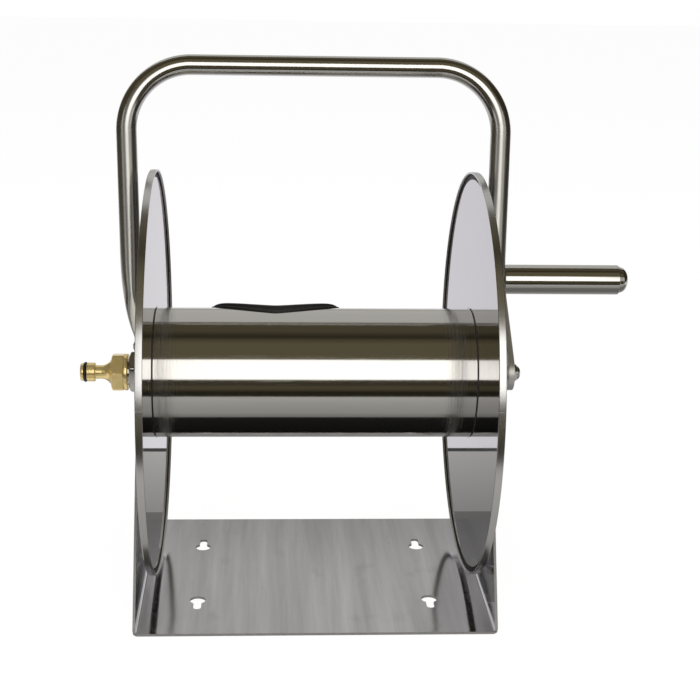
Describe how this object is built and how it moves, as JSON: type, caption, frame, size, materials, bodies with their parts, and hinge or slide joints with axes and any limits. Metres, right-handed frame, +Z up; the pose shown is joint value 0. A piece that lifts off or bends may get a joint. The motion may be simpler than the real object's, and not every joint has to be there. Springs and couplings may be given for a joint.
{
  "type": "wall mounted hose reel",
  "caption": "open steel hose reel: drum between two lipped discs on a bent keyhole bracket, brass plug-in inlet, crank with turning grip, tube carry handle",
  "frame": {"origin": "on the underside of the base, straight below the middle of the axle", "axes": "+X along the axle from the inlet to the crank, -Y the front of the base, +Z up out of the base"},
  "size_m": [0.4527, 0.32, 0.4123],
  "materials": {
    "satin_sheet": "satin stainless sheet",
    "polished_sheet": "polished stainless sheet",
    "polished_tube": "polished stainless tube",
    "turned_steel": "turned stainless steel",
    "fasteners": "plain stainless fasteners",
    "brass": "bright turned brass",
    "black_rubber": "black moulded rubber",
    "black_nylon": "black moulded nylon",
    "white_nylon": "white nylon washer"
  },
  "bodies": {
    "frame": {"bracket": "satin_sheet", "carry_handle": "polished_tube", "handle_screws": "fasteners", "handle_nuts": "fasteners", "inlet_spindle": "turned_steel", "inlet_locknut": "fasteners", "swivel_o_rings": "black_rubber", "left_thrust_washer": "white_nylon", "inlet_connector": "brass", "connector_o_ring": "black_rubber", "connector_washer": "black_rubber", "right_bearing": "turned_steel", "right_locknut": "fasteners", "right_thrust_washer": "white_nylon"},
    "reel": {"left_flange": "polished_sheet", "right_flange": "polished_sheet", "drum_shell": "polished_sheet", "hose_port_trim": "black_rubber", "left_end_ring": "turned_steel", "right_end_ring": "turned_steel", "left_flange_screws": "fasteners", "right_flange_screws": "fasteners", "swivel_housing": "brass", "left_hub_screws": "fasteners", "hose_tail": "brass", "stub_axle": "turned_steel", "right_hub_screws": "fasteners", "crank_arm": "polished_sheet", "crank_washer": "fasteners", "acorn_nut": "fasteners", "grip_spindle": "turned_steel", "grip_nut": "fasteners"},
    "grip": {"grip_sleeve": "polished_tube", "grip_inner_bush": "black_nylon", "grip_outer_bush": "black_nylon", "grip_cap": "polished_tube"}
  },
  "joints": [
    {"name": "reel_spin", "type": "hinge", "parent": "frame", "child": "reel", "pos_m": [0, 0, 0.168], "axis": [1, 0, 0], "continuous": true},
    {"name": "grip_spin", "type": "hinge", "parent": "reel", "child": "grip", "pos_m": [0.21, 0.07383, 0.22778], "axis": [1, 0, 0], "continuous": true}
  ]
}
